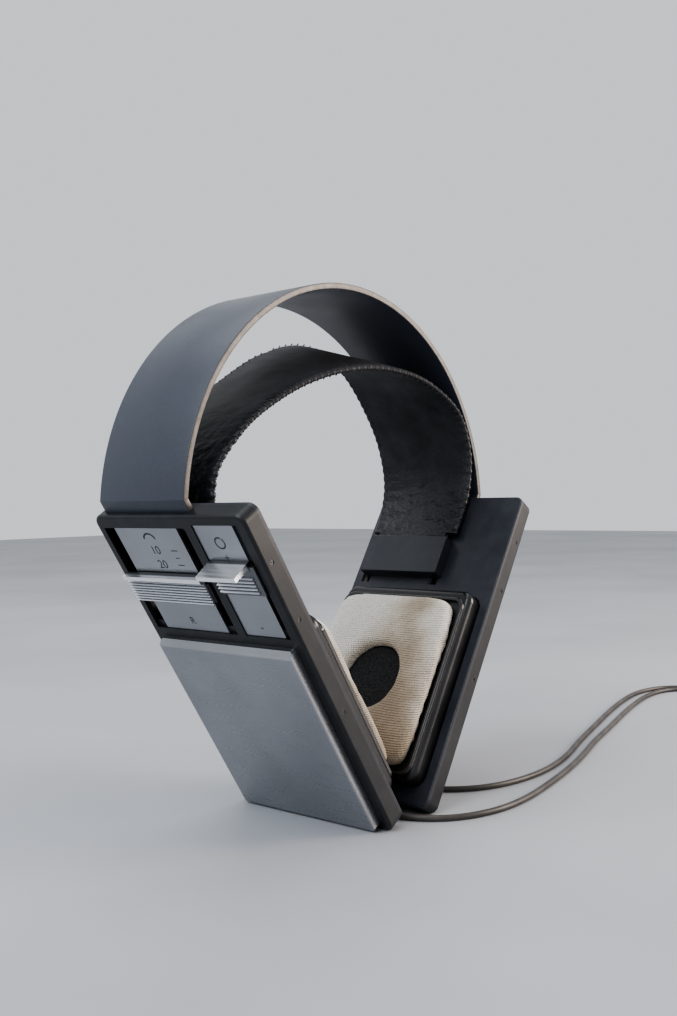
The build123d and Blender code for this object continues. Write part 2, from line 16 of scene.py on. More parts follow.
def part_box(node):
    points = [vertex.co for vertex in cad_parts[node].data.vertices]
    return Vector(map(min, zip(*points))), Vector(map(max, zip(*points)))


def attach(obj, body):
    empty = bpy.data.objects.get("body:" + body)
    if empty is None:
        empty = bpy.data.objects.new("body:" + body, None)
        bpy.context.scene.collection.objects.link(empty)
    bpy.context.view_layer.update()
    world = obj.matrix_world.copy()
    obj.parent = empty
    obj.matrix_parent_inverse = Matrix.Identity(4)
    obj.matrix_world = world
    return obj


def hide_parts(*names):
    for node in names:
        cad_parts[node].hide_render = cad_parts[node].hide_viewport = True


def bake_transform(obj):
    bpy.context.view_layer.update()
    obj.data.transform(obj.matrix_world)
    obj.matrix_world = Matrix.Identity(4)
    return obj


MM = 0.001
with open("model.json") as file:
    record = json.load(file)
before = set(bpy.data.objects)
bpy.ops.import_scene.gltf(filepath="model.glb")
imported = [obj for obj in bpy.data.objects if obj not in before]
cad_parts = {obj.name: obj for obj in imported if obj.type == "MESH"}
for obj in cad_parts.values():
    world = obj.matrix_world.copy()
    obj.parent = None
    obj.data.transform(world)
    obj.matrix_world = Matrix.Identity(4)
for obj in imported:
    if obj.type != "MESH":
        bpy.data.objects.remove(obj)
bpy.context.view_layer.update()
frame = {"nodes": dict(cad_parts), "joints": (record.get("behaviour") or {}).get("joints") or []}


# %% [markdown]
# ## Camera
# The camera stands low, in front and to the right of the wearer's right ear, and looks across both
# earpieces. It is a portrait frame, so the sensor's 36 mm is its height. The three turns are built
# up as plain direction vectors, which is easier to check than a chain of Euler angles.
# %% Objects and their places
def scene_object(name, data):
    """A new object with this data, linked to the scene."""
    item = bpy.data.objects.new(name, data)
    bpy.context.scene.collection.objects.link(item)
    return item


def placement(axes, position):
    """A matrix that turns X, Y and Z to the three axes and moves them to the position."""
    matrix = Matrix([list(axis) for axis in axes]).transposed().to_4x4()
    matrix.translation = position
    return matrix


# %% Camera
def camera_axes(yaw, pitch, roll):
    """Right, up and forward directions: forward from yaw and pitch, the other two turned by roll."""
    yaw, pitch, roll = np.radians([yaw, pitch, roll])
    forward = np.array([np.sin(yaw) * np.cos(pitch), np.cos(yaw) * np.cos(pitch), np.sin(pitch)])
    level = np.array([np.cos(yaw), -np.sin(yaw), 0.0])
    upright = np.cross(level, forward)
    right = level * np.cos(roll) + upright * np.sin(roll)
    up = -level * np.sin(roll) + upright * np.cos(roll)
    return right, up, forward


right, up, forward = camera_axes(yaw=49.49, pitch=-0.48, roll=-0.97)
camera_data = bpy.data.cameras.new("camera")
camera_data.sensor_fit = "VERTICAL"
camera_data.sensor_height = 36
camera_data.lens = 38.3
camera_data.clip_start = 0.01
camera = scene_object("camera", camera_data)
camera.matrix_world = placement([right, up, -forward], (-0.32128, -0.2769, 0.12075))
bpy.context.scene.camera = camera
bpy.context.scene.view_settings.look = "AgX - Medium High Contrast"
print("camera looks along", forward.round(3))

# %% [markdown]
# ## Mesh helpers
# Most new pieces here are a grid of points: rows along a path, and columns round the outline of
# a cross-section. The faces of such a grid are the same whatever the shape is, so one helper
# works them out as whole arrays, and another closes the two ends and turns the faces outwards.
# %% Grid faces
def grid_faces(rows, columns, wrap_rows=False, wrap_columns=True):
    """Four corners a face: a point, its neighbour in the row, and the same two in the next row."""
    i = np.arange(rows if wrap_rows else rows - 1)
    j = np.arange(columns if wrap_columns else columns - 1)
    i, j = np.meshgrid(i, j, indexing="ij")
    i_next, j_next = (i + 1) % rows, (j + 1) % columns
    corners = (i * columns + j, i * columns + j_next, i_next * columns + j_next, i_next * columns + j)
    return np.stack(corners, axis=-1).reshape(-1, 4)


# %% Mesh object from points and faces
def new_piece(name, points, faces, sharp_angle=40):
    """A smooth-shaded object, its faces outwards, its edges sharper than the angle kept."""
    mesh = bpy.data.meshes.new(name)
    mesh.from_pydata(np.asarray(points, float).reshape(-1, 3).tolist(), [], [list(f) for f in faces])
    build = bmesh.new()
    build.from_mesh(mesh)
    bmesh.ops.recalc_face_normals(build, faces=build.faces)
    build.to_mesh(mesh)
    build.free()
    mesh.shade_smooth()
    mesh.set_sharp_from_angle(angle=np.radians(sharp_angle))
    return scene_object(name, mesh)


# %% Bar from cross-sections
def bar_faces(rows, columns):
    """The grid's faces and one flat face over each open end."""
    ends = [list(range(columns)), list(range((rows - 1) * columns, rows * columns))]
    return grid_faces(rows, columns).tolist() + ends


def unit(vectors):
    """Each vector divided by its own length."""
    return vectors / np.linalg.norm(vectors, axis=-1, keepdims=True)


def mesh_points(mesh):
    """Vertex positions of a mesh, as one array."""
    points = np.empty(len(mesh.vertices) * 3)
    mesh.vertices.foreach_get("co", points)
    return points.reshape(-1, 3)


# %% [markdown]
# ## Where the earpieces are
# Every marking and pad is easier to place on the earpiece's own flat axes: across, up and out.
# The joints already hold the up and out directions, and the housing's corners give the origin at
# the lower outer edge, so nothing here is typed in twice.
# %% Earpiece axes
joint_axes = {joint["name"]: np.array(joint["axis"], float) for joint in frame["joints"]}


def ear_axes(side):
    """Origin at the lower outer edge, then the across, up and out directions of one earpiece."""
    rise = joint_axes[f"{side}_ear_control"]
    out = joint_axes[f"{side}_capsule"]
    housing = mesh_points(frame["nodes"][f"housing_{side}"].data)
    origin = out * (housing @ out).max() + rise * (housing @ rise).min()
    return origin, np.array([0.0, 1.0, 0.0]), rise, out


def on_ear(side, across, height, depth):
    """Points from distances across, up and out of the earpiece."""
    origin, a, u, n = ear_axes(side)
    across, height, depth = np.broadcast_arrays(across, height, depth)
    return origin + across[..., None] * a + height[..., None] * u + depth[..., None] * n


def ear_box(node):
    """Lowest and highest across, up and out of a node on its own earpiece's axes."""
    origin, a, u, n = ear_axes("left" if node.endswith("left") else "right")
    local = (mesh_points(frame["nodes"][node].data) - origin) @ np.stack([a, u, n], axis=1)
    return local.min(axis=0), local.max(axis=0)


print("right housing spans", (ear_box("housing_right")[1] - ear_box("housing_right")[0]).round(4))

# %% [markdown]
# ## Finishes
# Each material starts from one Principled shader with fixed numbers on its own sockets. Noise,
# waves and masks then change colour, roughness or bump only where the real finish varies. All of
# them read Object coordinates, so a pattern stays on its piece when a joint moves.
# %% Material start
def start_material(name, color, roughness, metallic=0.0, **inputs):
    """A material with one Principled shader; the other inputs are given by socket name."""
    material = bpy.data.materials.new(name)
    material.use_nodes = True
    shader = material.node_tree.nodes["Principled BSDF"]
    shader.inputs["Base Color"].default_value = (*color, 1)
    shader.inputs["Roughness"].default_value = roughness
    shader.inputs["Metallic"].default_value = metallic
    for socket, value in inputs.items():
        shader.inputs[socket.replace("_", " ")].default_value = value
    return material


# %% Pattern nodes
def coordinates(material, scale=(1, 1, 1)):
    """Object coordinates, stretched."""
    tree = material.node_tree
    source = tree.nodes.new("ShaderNodeTexCoord")
    mapping = tree.nodes.new("ShaderNodeMapping")
    mapping.inputs["Scale"].default_value = scale
    tree.links.new(source.outputs["Object"], mapping.inputs["Vector"])
    return mapping.outputs["Vector"]


def place_values(material):
    """The X, Y and Z object coordinates as three separate values."""
    split = material.node_tree.nodes.new("ShaderNodeSeparateXYZ")
    material.node_tree.links.new(coordinates(material), split.inputs["Vector"])
    return split.outputs["X"], split.outputs["Y"], split.outputs["Z"]


def noise(material, scale, detail=4, stretch=(1, 1, 1)):
    """Noise of that many cells to the metre; stretch makes it finer along an axis."""
    tree = material.node_tree
    node = tree.nodes.new("ShaderNodeTexNoise")
    node.inputs["Scale"].default_value = scale
    node.inputs["Detail"].default_value = detail
    tree.links.new(coordinates(material, stretch), node.inputs["Vector"])
    return node.outputs["Fac"]


def spread(material, value, low, high, out_low, out_high):
    """Maps a value from low..high to out_low..out_high, held at the ends."""
    tree = material.node_tree
    node = tree.nodes.new("ShaderNodeMapRange")
    for socket, number in zip(("From Min", "From Max", "To Min", "To Max"), (low, high, out_low, out_high)):
        node.inputs[socket].default_value = number
    tree.links.new(value, node.inputs["Value"])
    return node.outputs["Result"]


def combine(material, first, second, operation):
    """Two values joined by a maths operation."""
    tree = material.node_tree
    node = tree.nodes.new("ShaderNodeMath")
    node.operation = operation
    for socket, value in zip(node.inputs, (first, second)):
        if isinstance(value, (int, float)):
            socket.default_value = value
        else:
            tree.links.new(value, socket)
    return node.outputs["Value"]


# %% Pattern users
def color_between(material, value, stops):
    """Base colour from a value, through (place, colour) stops."""
    tree = material.node_tree
    ramp = tree.nodes.new("ShaderNodeValToRGB")
    elements = ramp.color_ramp.elements
    elements[0].position, elements[0].color = stops[0][0], (*stops[0][1], 1)
    elements[1].position, elements[1].color = stops[-1][0], (*stops[-1][1], 1)
    for position, color in stops[1:-1]:
        elements.new(position).color = (*color, 1)
    tree.links.new(value, ramp.inputs["Fac"])
    tree.links.new(ramp.outputs["Color"], tree.nodes["Principled BSDF"].inputs["Base Color"])


def roughness_from(material, value):
    """Roughness from a value that varies over the surface."""
    tree = material.node_tree
    tree.links.new(value, tree.nodes["Principled BSDF"].inputs["Roughness"])


def bump_from(material, value, depth):
    """Surface relief from a value: depth is the height in metres of a value of 1."""
    tree = material.node_tree
    shader = tree.nodes["Principled BSDF"]
    node = tree.nodes.new("ShaderNodeBump")
    node.inputs["Distance"].default_value = depth
    if shader.inputs["Normal"].is_linked:
        tree.links.new(shader.inputs["Normal"].links[0].from_socket, node.inputs["Normal"])
    tree.links.new(value, node.inputs["Height"])
    tree.links.new(node.outputs["Normal"], shader.inputs["Normal"])


# %% [markdown]
# ## Plastics
# The housings are moulded in black plastic with a fine spark texture. Handling has polished it in
# soft patches, so the roughness drifts over centimetres while the bump is a fraction of a
# millimetre. The capsule is smoother, and the rim that holds the pad is glossy.
# %% Plastics
def moulded_plastic(name, color, roughness, grain=0.00002, **inputs):
    """Black moulded plastic: drifting roughness, faint dust and a fine moulded grain."""
    material = start_material(name, color, roughness, **inputs)
    patches = noise(material, 45, detail=5)
    roughness_from(material, spread(material, patches, 0.35, 0.65, roughness - 0.06, roughness + 0.08))
    pale = tuple(c * 1.5 + 0.003 for c in color)
    color_between(material, noise(material, 160, detail=6), [(0.45, color), (0.80, pale)])
    bump_from(material, noise(material, 2600, detail=2), grain)
    return material


black_plastic = moulded_plastic("black_plastic", (0.008, 0.009, 0.011), 0.38, Specular_IOR_Level=0.40)
holder_plastic = moulded_plastic("holder_plastic", (0.015, 0.017, 0.023), 0.38)
capsule_plastic = moulded_plastic("capsule_plastic", (0.008, 0.008, 0.009), 0.30, grain=0.00001)
plug_plastic = moulded_plastic("plug_plastic", (0.015, 0.015, 0.016), 0.38)
gloss_rim = moulded_plastic("gloss_rim", (0.006, 0.006, 0.007), 0.16, grain=0.000004, Coat_Weight=0.5)

# %% [markdown]
# ## Metals
# The driver cover is satin-anodised aluminium, brushed along its width. A noise that is squeezed
# across the brushing direction and long along it gives the streaks, in roughness and in a very
# shallow bump. The scale plates are almost the same metal with a finer grain.
# %% Metals
def brush(material, low, high, fine=1500):
    """Streaks along Y: noise many times finer across them than along, in roughness and relief."""
    streaks = noise(material, fine, detail=3, stretch=(1, 0.02, 1))
    roughness_from(material, spread(material, streaks, 0.3, 0.7, low, high))
    bump_from(material, streaks, 0.000006)


def brushed_metal(name, color, roughness, fine=1500):
    """Brushed metal with faint darker clouds."""
    material = start_material(name, color, roughness, metallic=1.0)
    brush(material, roughness - 0.07, roughness + 0.07, fine)
    dark = tuple(c * 0.88 for c in color)
    color_between(material, noise(material, 38), [(0.35, dark), (0.65, color)])
    return material


cover_aluminium = brushed_metal("brushed_aluminium", (0.37, 0.38, 0.40), 0.32)
plate_aluminium = brushed_metal("plate_aluminium", (0.38, 0.39, 0.41), 0.36, fine=2200)
steel = brushed_metal("steel", (0.55, 0.55, 0.56), 0.28)
black_steel = brushed_metal("black_steel", (0.10, 0.10, 0.105), 0.35)
brass = brushed_metal("brass", (0.78, 0.60, 0.30), 0.30)
magnet = brushed_metal("magnet", (0.16, 0.16, 0.17), 0.5)

# %% [markdown]
# The two sliders are brighter drawn bar. The colour follows how far each point is out of the
# earpiece: painted shade darkens the grooves between the ridges, so the ridges stand out.
# %% Ridged sliders
ridge_height = 0.7 * MM


def groove_shaded_metal(node, groove):
    """Bright drawn bar with painted shade in the grooves: how far out each point is, from x*out_x +
    z*out_z.
    """
    side = "left" if node.endswith("left") else "right"
    material = start_material(f"ridged_{node}", (0.9, 0.91, 0.93), 0.22, metallic=1.0)
    brush(material, 0.28, 0.38)
    x, _, z = place_values(material)
    origin, _, _, out = ear_axes(side)
    from_x = combine(material, x, float(out[0]), "MULTIPLY")
    from_z = combine(material, z, float(out[2]), "MULTIPLY")
    depth = combine(material, combine(material, from_x, from_z, "ADD"), float(origin @ out), "SUBTRACT")
    # Painted shade: the deeper a point lies in a groove, the darker its colour.
    height = spread(material, depth, groove, groove + ridge_height, 0.0, 1.0)
    color_between(material, height, [(0.0, (0.17, 0.175, 0.185)), (0.6, (0.62, 0.63, 0.65)),
                                     (1.0, (0.93, 0.94, 0.96))])
    return material


# %% [markdown]
# ## Inner pieces
# The driver behind each pad has a thin film, a circuit board sits in the housing, and open-cell
# foam closes the hole in the pad. They hardly show, but each still has its own finish.
# %% Inner pieces
film = start_material("film", (0.32, 0.30, 0.26), 0.25, Coat_Weight=0.4)
bump_from(film, noise(film, 900, detail=2), 0.00003)
board = start_material("board", (0.11, 0.16, 0.06), 0.5)
color_between(board, noise(board, 500), [(0.4, (0.08, 0.13, 0.05)), (0.6, (0.14, 0.19, 0.08))])
foam = start_material("foam", (0.012, 0.012, 0.013), 0.95)
foam_cells = noise(foam, 1700, detail=1)
color_between(foam, foam_cells, [(0.40, (0.003, 0.003, 0.003)), (0.62, (0.022, 0.022, 0.024))])
bump_from(foam, foam_cells, 0.0004)

# %% [markdown]
# ## Band, strap and cord finishes
# The spring band is lacquered blue-black on both faces, and its cut edges are bare, a warm grey that is
# partly wear and partly painted sheen. The strap is black leather: noises of three sizes give its pores,
# swells and wrinkles, and it is shinier and more wrinkled towards the holders. The cord's rubber has gone
# slightly brown.
# %% Band finish
band_finish = start_material("band_finish", (0.032, 0.038, 0.052), 0.33)
band_patches = noise(band_finish, 30, detail=6)
roughness_from(band_finish, spread(band_finish, band_patches, 0.3, 0.7, 0.27, 0.42))
color_between(band_finish, noise(band_finish, 900, detail=8),
              [(0.45, (0.032, 0.038, 0.052)), (0.85, (0.042, 0.048, 0.062))])
bump_from(band_finish, noise(band_finish, 2600, detail=2), 0.000012)
# The cut edges' warm grey is partly bare worn metal and partly painted sheen.
band_edge_bare_and_sheen = start_material("band_edge_bare_and_sheen", (0.11, 0.098, 0.088), 0.42, metallic=0.4)
color_between(band_edge_bare_and_sheen, noise(band_edge_bare_and_sheen, 260, detail=8),
              [(0.35, (0.070, 0.063, 0.057)), (0.70, (0.115, 0.104, 0.094))])
bump_from(band_edge_bare_and_sheen, noise(band_edge_bare_and_sheen, 1800), 0.00003)

# %% Leather and thread
strap_leather = start_material("strap_leather", (0.010, 0.010, 0.011), 0.5, Specular_IOR_Level=0.40)
near_holder = spread(strap_leather, place_values(strap_leather)[2], 0.118, 0.160, 1.0, 0.0)
rubbed = spread(strap_leather, noise(strap_leather, 26, detail=5), 0.35, 0.7, 0.66, 0.50)
polish = combine(strap_leather, near_holder, 0.26, "MULTIPLY")
roughness_from(strap_leather, combine(strap_leather, rubbed, polish, "SUBTRACT"))
color_between(strap_leather, noise(strap_leather, 140, detail=6),
              [(0.35, (0.008, 0.008, 0.009)), (0.75, (0.024, 0.025, 0.031))])
bump_from(strap_leather, noise(strap_leather, 1300, detail=3), 0.00016)
bump_from(strap_leather, noise(strap_leather, 150, detail=3), 0.00022)
wrinkles = noise(strap_leather, 380, detail=4, stretch=(1, 0.8, 1.2))
bump_from(strap_leather, combine(strap_leather, wrinkles, near_holder, "MULTIPLY"), 0.0009)
stitch_thread = start_material("stitch_thread", (0.020, 0.020, 0.020), 0.62, Sheen_Weight=0.15)
bump_from(stitch_thread, noise(stitch_thread, 3000, detail=1), 0.0001)

# %% Cord rubber
cord_rubber = start_material("cord_rubber", (0.045, 0.038, 0.033), 0.46)
color_between(cord_rubber, noise(cord_rubber, 90, detail=5),
              [(0.35, (0.030, 0.026, 0.023)), (0.70, (0.070, 0.060, 0.052))])
bump_from(cord_rubber, noise(cord_rubber, 1500, detail=2), 0.00003)

# %% [markdown]
# ## Cords
# A thin cord leaves the lower edge of each earpiece, the two run side by side over the floor into
# a splitter, and one round cord goes on to the plug. Each is a NURBS spline with the same control
# points as its CAD tube. The rest of the round cord is wound up: its turns go in and out in
# spirals, one layer on another, worked out by a formula.
# %% Cord routes
thin_cord = 2.4 * MM
round_cord = 3.2 * MM
lie = thin_cord / 2 + 0.05 * MM
gland_across, gland_rise, gland_depth = 5.0, 2.3, -6.0
exit_left = Vector(on_ear("left", gland_across * MM, gland_rise * MM, gland_depth * MM))
lean = np.arctan2(joint_axes["left_ear_control"][0], joint_axes["left_ear_control"][2])
landing_x = (exit_left.x - (exit_left.z - lie) * np.tan(lean)) / MM
right_floor = [
    (-landing_x, gland_across), (-4.8, 0.4), (-2.6, -8.6), (-1.2, -22.0), (1.4, -34.5),
    (7.2, -44.0), (17.0, -51.0), (32.0, -55.2), (51.0, -55.0), (73.0, -51.4), (98.0, -46.4),
    (126.0, -39.2), (156.0, -29.6), (190.0, -21.0), (224.0, -11.5), (256.0, -3.6), (283.0, 1.4),
    (304.0, 0.6), (316.0, -8.0), (319.4, -21.5), (319.4, -35.0),
]
left_floor = [
    (landing_x, gland_across), (4.8, 9.6), (3.2, 18.5), (3.4, 33.5), (6.5, 48.5), (14.5, 58.0),
    (25.0, 57.6), (32.5, 48.5), (35.6, 34.5), (36.0, 18.0), (35.2, 3.0), (36.2, -10.5),
    (41.5, -22.5), (50.0, -31.2), (63.0, -37.0), (80.0, -39.4), (99.0, -38.4), (122.0, -33.6),
    (152.0, -23.6), (186.0, -14.0), (222.0, -3.6), (256.0, 5.0), (286.0, 10.4), (308.0, 7.6),
    (320.6, -3.4), (324.6, -19.0), (324.6, -35.0),
]


def thin_route(side, floor):
    """The exit point in the earpiece, then the floor points at the height of a lying cord."""
    sign = -1 if side == "right" else 1
    start = [(sign * exit_left.x, exit_left.y, exit_left.z)]
    return start + [(x * MM, y * MM, lie) for x, y in floor]


# %% Wound cord
coil_x, coil_y = 296.0 * MM, -104.0 * MM
outer_turn, inner_turn = 24.6 * MM, 11.4 * MM
turn_gap = 3.3 * MM
layers, turns_each, points_each = 4, 4, 14
main_height = round_cord / 2 + 0.05 * MM


def coil_points():
    """Spirals: the radius goes evenly in and out again, a layer's end climbs in three steps to the
    next layer, and the last end comes down outside the others in half a turn."""
    rows, count = [], turns_each * points_each
    for layer in range(layers):
        start, end = (outer_turn, inner_turn) if layer % 2 == 0 else (inner_turn, outer_turn)
        height = main_height + layer * turn_gap
        rows += [(start + (end - start) * i / count, height) for i in range(count + 1)]
        if layer < layers - 1:
            rows += [(end, height + turn_gap * k / 3) for k in (1, 2)]
    steps, late, out_step = 7, 0.6, 0.6
    fall = (height - main_height) / (steps - late)
    rows += [(outer_turn + turn_gap * min(1, out_step * k), height - fall * (k - late))
             for k in range(1, steps + 1)]
    angle = np.radians(5.0) - np.arange(len(rows)) * 2 * np.pi / points_each
    return [(coil_x + radius * np.cos(turn), coil_y + radius * np.sin(turn), height)
            for (radius, height), turn in zip(rows, angle)]


lead_in = [(322.0, -53.0), (322.0, -63.5), (321.7, -76.5), (321.1, -89.5)]
lead_out = [
    (303.5, -131.0, 1.65), (292.0, -132.6, 1.65), (281.0, -131.8, 1.9), (269.5, -130.6, 3.6),
    (260.0, -130.6, 6.2), (251.0, -130.6, 7.6), (242.0, -130.6, 7.6),
]
main_route = [(x * MM, y * MM, main_height) for x, y in lead_in]
main_route += coil_points()
main_route += [(x * MM, y * MM, z * MM) for x, y, z in lead_out]
print("round cord has", len(main_route), "points")


# %% Cord lines
def cord_curve(name, route):
    """A NURBS curve of order 3 with the route's points; its line stays near the route's corners."""
    curve = bpy.data.curves.new(name, "CURVE")
    curve.dimensions = "3D"
    curve.resolution_u = 5
    spline = curve.splines.new("NURBS")
    spline.points.add(len(route) - 1)
    spline.points.foreach_set("co", np.array([(*point, 1.0) for point in route]).ravel())
    spline.order_u = 3
    spline.use_endpoint_u = True
    return bpy.data.objects.new(name, curve)


def line_points(cord):
    """Points along the curve's own line, which has no bevel yet."""
    return mesh_points(bpy.data.meshes.new_from_object(cord))


def distances(points):
    """How far along the line each of its points is."""
    return np.concatenate([[0], np.cumsum(np.linalg.norm(np.diff(points, axis=0), axis=1))])


# %% [markdown]
# The thin cords run between the earpiece that they leave and the floor, and each is a mesh tube
# round its NURBS line. The side of every ring is level, and its other direction is square to both
# that and the line. The round cord stays still, so it is the curve itself with a round bevel.
# %% Thin cords
def cord_tube(name, line, diameter, columns=12):
    """Rings round the line: half the diameter times cos(turn) to the side and sin(turn) upwards."""
    along = unit(np.gradient(line, axis=0))
    level = unit(np.cross(along, [0.0, 0.0, 1.0]))
    lift = np.cross(level, along)
    turn = np.linspace(0, 2 * np.pi, columns, endpoint=False)[None, :, None]
    rings = np.cos(turn) * level[:, None] + np.sin(turn) * lift[:, None]
    points = line[:, None] + rings * diameter / 2
    return new_piece(name, points, bar_faces(len(line), columns), sharp_angle=80)


for side, floor, length, still in (("right", right_floor, 0.400, (-0.0086, 0.005, 0.0031)),
                                   ("left", left_floor, 0.476, (0.038, 0.005, 0.0))):
    route = thin_route(side, floor)
    line = line_points(cord_curve(f"line_{side}", route))
    cord = cord_tube(f"thin_cord_{side}", line, thin_cord)
    cord.data.materials.append(cord_rubber)
    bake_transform(cord)
    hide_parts(f"cord_{side}")
    print(cord.name, "length", round(distances(line)[-1], 4))

# %% Round cord
main_cord = cord_curve("round_cord", main_route)
bpy.context.scene.collection.objects.link(main_cord)
print("round cord length", round(distances(line_points(main_cord))[-1], 4))
main_cord.data.bevel_depth = round_cord / 2
main_cord.data.bevel_resolution = 3
main_cord.data.use_fill_caps = True
main_cord.data.materials.append(cord_rubber)
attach(main_cord, "root")
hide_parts("cord_main", "cord_coil", "cord_tail")

# %% [markdown]
# ## Spring band
# The band is one strip of spring steel bent to a half circle, with a short foot at each end that
# follows the earpiece. It is made as two halves that meet at the crown. The cross-section is a rounded
# rectangle carried along the path. Its long faces and its cut edges have different finishes.
# %% Band path
band_low, band_high = (np.array(corner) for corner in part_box("headband"))
foot_turn = np.radians(4.0)
band_thickness = 2.4 * MM
band_radius = band_high[0] / np.cos(foot_turn)
band_centre = band_high[2] - band_radius


def band_path():
    """Outer line of the left half: a circle from the crown down to the bend, then the straight foot."""
    turn = np.linspace(np.pi / 2, foot_turn, 90)
    outwards = np.stack([np.cos(turn), 0 * turn, np.sin(turn)], axis=1)
    arc = band_radius * outwards + (0, 0, band_centre)
    rise, out = joint_axes["left_ear_control"], joint_axes["left_capsule"]
    drop = (arc[-1, 2] - band_low[2]) / rise[2] - 1.5 * MM
    steps = np.array([0.04, 0.3, 0.65, 1.0])[:, None] * drop
    foot = arc[-1] - steps * rise
    outwards[-1] = unit(outwards[-1] + out)
    return np.concatenate([arc, foot]), np.concatenate([outwards, np.tile(out, (len(foot), 1))])


# %% Rounded outline
def circle(turn):
    """Points (cos, sin) on the unit circle."""
    return np.stack([np.cos(turn), np.sin(turn)], axis=-1)


def rounded_rectangle(width, height, radius, steps=4):
    """Outline round a rectangle centred on zero: a quarter circle at each corner."""
    quarter = np.linspace(0, np.pi / 2, steps)
    inner = np.array([width, height]) / 2 - radius
    corners = ((1, 1), (-1, 1), (-1, -1), (1, -1))
    return np.concatenate([corner * inner + radius * circle(quarter + k * np.pi / 2)
                           for k, corner in enumerate(corners)])


# %% Band halves
def band_half(side):
    """The rounded strip along the path; the right half is the left one with X turned round."""
    path, outwards = band_path()
    outline = rounded_rectangle(band_high[1] - band_low[1], band_thickness, 0.45 * MM)
    middle = (band_high[1] + band_low[1]) / 2
    across = np.zeros((1, len(outline), 3))
    across[0, :, 1] = outline[:, 0] + middle
    depth = outline[:, 1] - band_thickness / 2
    points = path[:, None, :] + across + outwards[:, None, :] * depth[None, :, None]
    if side == "right":
        points[..., 0] *= -1
    piece = new_piece(f"band_{side}", points, bar_faces(len(path), len(outline)), sharp_angle=25)
    normals = np.empty(len(piece.data.polygons) * 3)
    piece.data.polygons.foreach_get("normal", normals)
    edge_faces = np.abs(normals.reshape(-1, 3)[:, 1]) > 0.8
    piece.data.materials.append(band_finish)
    piece.data.materials.append(band_edge_bare_and_sheen)
    piece.data.polygons.foreach_set("material_index", edge_faces.astype(np.int32))
    # Row 1 is next to the crown, and row 86 is just above the foot.
    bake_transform(piece)
    return piece


bands = [band_half(side) for side in ("left", "right")]
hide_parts("headband")
print("band outer radius", round(band_radius, 4), "faces each", len(bands[0].data.polygons))

# %% [markdown]
# ## Head strap
# The strap is two layers of soft leather sewn together round the edge with a thread that loops
# over it. Its front and back edges follow different curves, so the strap twists as it goes over
# the head. Each edge is a smooth curve through a few points, given as a turn about the band's
# centre and the gap inside the band there, and the leather is the ruled surface between them.
# %% Strap outlines
holder_high = ear_box("strap_holder_left")[1]
mouth = on_ear("left", 0.0, holder_high[1] + 2.5 * MM, holder_high[2] - 1.1 * MM)
front_gaps = [
    (178.2, 10.1), (169.9, 9.4), (155.0, 16.1), (132.0, 25.8), (98.2, 29.5), (67.7, 22.4),
    (44.5, 9.8), (28.9, 1.0), (17.2, 1.2), (6.4, 6.1),
]
back_gaps = [
    (177.8, 10.0), (165.7, 9.2), (148.2, 17.4), (124.0, 24.8), (97.0, 20.2), (76.6, 12.2),
    (57.3, 7.9), (36.8, 8.2), (21.7, 7.6), (7.8, 8.6),
]


def strap_line(gaps, count):
    """Evenly spaced (x, z) points on a cubic curve through the gaps' points and the two mouths."""
    turn = np.radians([t for t, _ in gaps])
    reach = band_radius - band_thickness - np.array([g for _, g in gaps]) * MM
    over = circle(turn) * reach[:, None] + (0, band_centre)
    values = np.concatenate([[(-mouth[0], mouth[2])], over, [(mouth[0], mouth[2])]])
    knots = distances(values)
    slope = np.gradient(values, knots, axis=0)
    rise = joint_axes["left_ear_control"]
    slope[0] = (-rise[0], rise[2])
    slope[-1] = (-rise[0], -rise[2])
    fine = np.linspace(0, knots[-1], 4000)
    k = np.clip(np.searchsorted(knots, fine, side="right") - 1, 0, len(knots) - 2)
    span = (knots[k + 1] - knots[k])[:, None]
    t = (fine - knots[k])[:, None] / span
    line = (2 * t**3 - 3 * t**2 + 1) * values[k] + (t**3 - 2 * t**2 + t) * span * slope[k]
    line += (3 * t**2 - 2 * t**3) * values[k + 1] + (t**3 - t**2) * span * slope[k + 1]
    along = distances(line)
    even = np.linspace(0, along[-1], count)
    return np.stack([np.interp(even, along, values) for values in line.T], axis=1)


# %% Strap surface
strap_rows = 801
stitch_pitch_rows = 12
strap_t = 2.7 * MM
strap_front = strap_line(front_gaps, strap_rows)
strap_back = strap_line(back_gaps, strap_rows)
strap_y0, strap_y1 = band_low[1] - 0.8 * MM, band_high[1] + 0.8 * MM


def strap_frames(share):
    """Points and inward directions of the outer face, at a share of the way from front to back."""
    share = np.asarray(share, float)[None, :, None]
    line = strap_front[:, None, :] * (1 - share) + strap_back[:, None, :] * share
    along = np.gradient(line, axis=0)
    inward = unit(np.stack([along[..., 1], -along[..., 0]], axis=-1))
    y = strap_y0 + (strap_y1 - strap_y0) * np.broadcast_to(share, line.shape[:2] + (1,))
    points = np.stack([line[..., 0], y[..., 0], line[..., 1]], axis=-1)
    return points, np.stack([inward[..., 0], 0 * inward[..., 0], inward[..., 1]], axis=-1)


